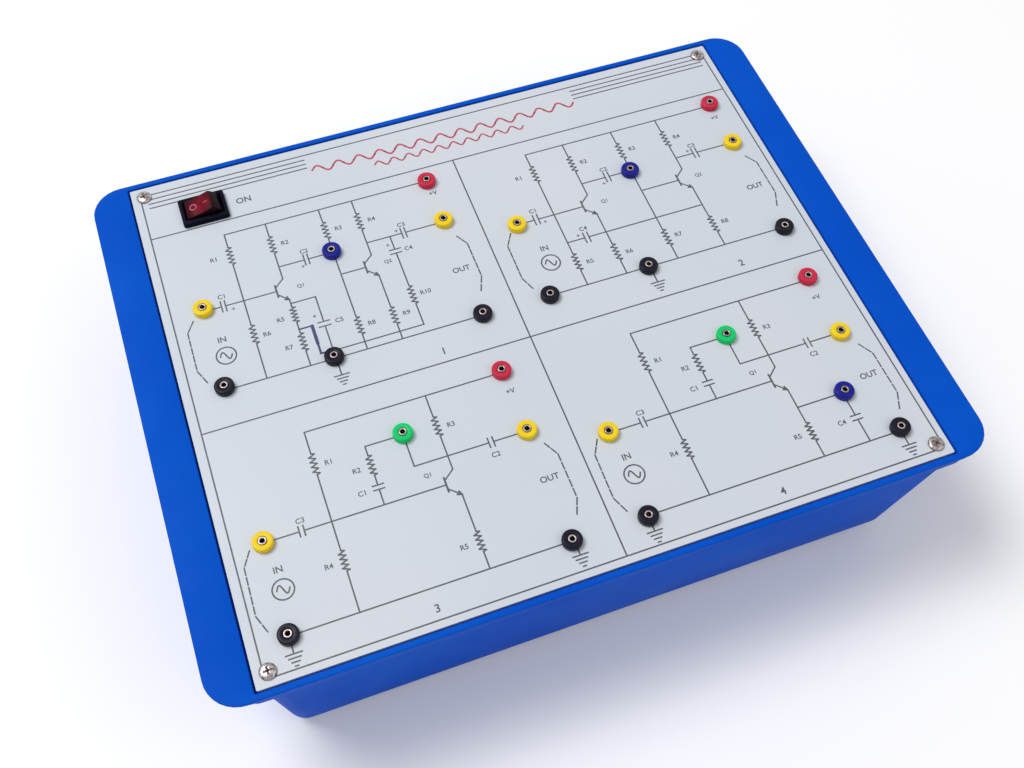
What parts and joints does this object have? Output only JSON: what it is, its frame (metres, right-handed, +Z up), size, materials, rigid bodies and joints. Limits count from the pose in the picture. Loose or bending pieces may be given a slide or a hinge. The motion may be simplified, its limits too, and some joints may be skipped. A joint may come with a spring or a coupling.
{
  "type": "feedback amplifier trainer",
  "caption": "Bench trainer with a moulded cabinet, a sloping-sided tub and wings, a printed panel of plug sockets, a rocker mains switch and its own power supply inside.",
  "frame": {"origin": "under the middle of the cabinet, on the surface that the feet stand on", "axes": "+X to the right along the panel's long side, +Y to the rear edge, +Z up through the panel"},
  "size_m": [0.3256, 0.252, 0.0861],
  "materials": {
    "cabinet_blue": "moulded ABS, satin with a fine grain",
    "panel_white": "printed laminate, semi-gloss",
    "nickel_screw": "nickel plated",
    "socket_yellow": "moulded nylon head",
    "socket_black": "moulded nylon head",
    "socket_red": "moulded nylon head",
    "socket_blue": "moulded nylon head",
    "socket_green": "moulded nylon head",
    "switch_black": "moulded nylon",
    "rocker_red": "translucent moulded plastic",
    "black_rubber": "matt rubber",
    "core_steel": "stacked steel sheets",
    "strap_steel": "plated sheet steel",
    "winding_tape": "yellow tape over enamelled wire",
    "board_green": "glass-fibre laminate",
    "can_sleeve": "shrunk sleeve",
    "moulded_black": "moulded epoxy",
    "sink_aluminium": "extruded",
    "fuse_glass": "glass tube with metal caps"
  },
  "bodies": {
    "cabinet": {"amplifier_board": "board_green", "amplifier_board_screw_1": "nickel_screw", "amplifier_board_screw_2": "nickel_screw", "amplifier_board_screw_3": "nickel_screw", "amplifier_board_screw_4": "nickel_screw", "bridge_rectifier": "moulded_black", "cabinet_tub": "cabinet_blue", "front_panel": "panel_white", "heat_sink": "sink_aluminium", "mains_grommet": "black_rubber", "panel_screw_1": "nickel_screw", "panel_screw_2": "nickel_screw", "panel_screw_3": "nickel_screw", "panel_screw_4": "nickel_screw", "reservoir_capacitor": "can_sleeve", "rubber_foot_1": "black_rubber", "rubber_foot_2": "black_rubber", "rubber_foot_3": "black_rubber", "rubber_foot_4": "black_rubber", "socket_1_base_blue": "socket_blue", "socket_1_input_ground_black": "socket_black", "socket_1_input_yellow": "socket_yellow", "socket_1_middle_ground_black": "socket_black", "socket_1_output_ground_black": "socket_black", "socket_1_output_yellow": "socket_yellow", "socket_1_supply_red": "socket_red", "socket_2_base_blue": "socket_blue", "socket_2_input_ground_black": "socket_black", "socket_2_input_yellow": "socket_yellow", "socket_2_middle_ground_black": "socket_black", "socket_2_output_ground_black": "socket_black", "socket_2_output_yellow": "socket_yellow", "socket_2_supply_red": "socket_red", "socket_3_feedback_green": "socket_green", "socket_3_input_ground_black": "socket_black", "socket_3_input_yellow": "socket_yellow", "socket_3_output_ground_black": "socket_black", "socket_3_output_yellow": "socket_yellow", "socket_3_supply_red": "socket_red", "socket_4_emitter_blue": "socket_blue", "socket_4_feedback_green": "socket_green", "socket_4_input_ground_black": "socket_black", "socket_4_input_yellow": "socket_yellow", "socket_4_output_ground_black": "socket_black", "socket_4_output_yellow": "socket_yellow", "socket_4_supply_red": "socket_red", "supply_board": "board_green", "supply_board_screw_1": "nickel_screw", "supply_board_screw_2": "nickel_screw", "supply_fuse": "fuse_glass", "switch_housing": "switch_black", "transformer_coil": "winding_tape", "transformer_core": "core_steel", "transformer_screw_1": "nickel_screw", "transformer_screw_2": "nickel_screw", "transformer_strap": "strap_steel", "voltage_regulator": "moulded_black"},
    "rocker": {"rocker": "rocker_red"}
  },
  "joints": [
    {"name": "rocker_pivot", "type": "hinge", "parent": "cabinet", "child": "rocker", "pos_m": [-0.115, 0.1008, 0.0787], "axis": [0, 1, 0], "range_deg": [0, 36]}
  ]
}
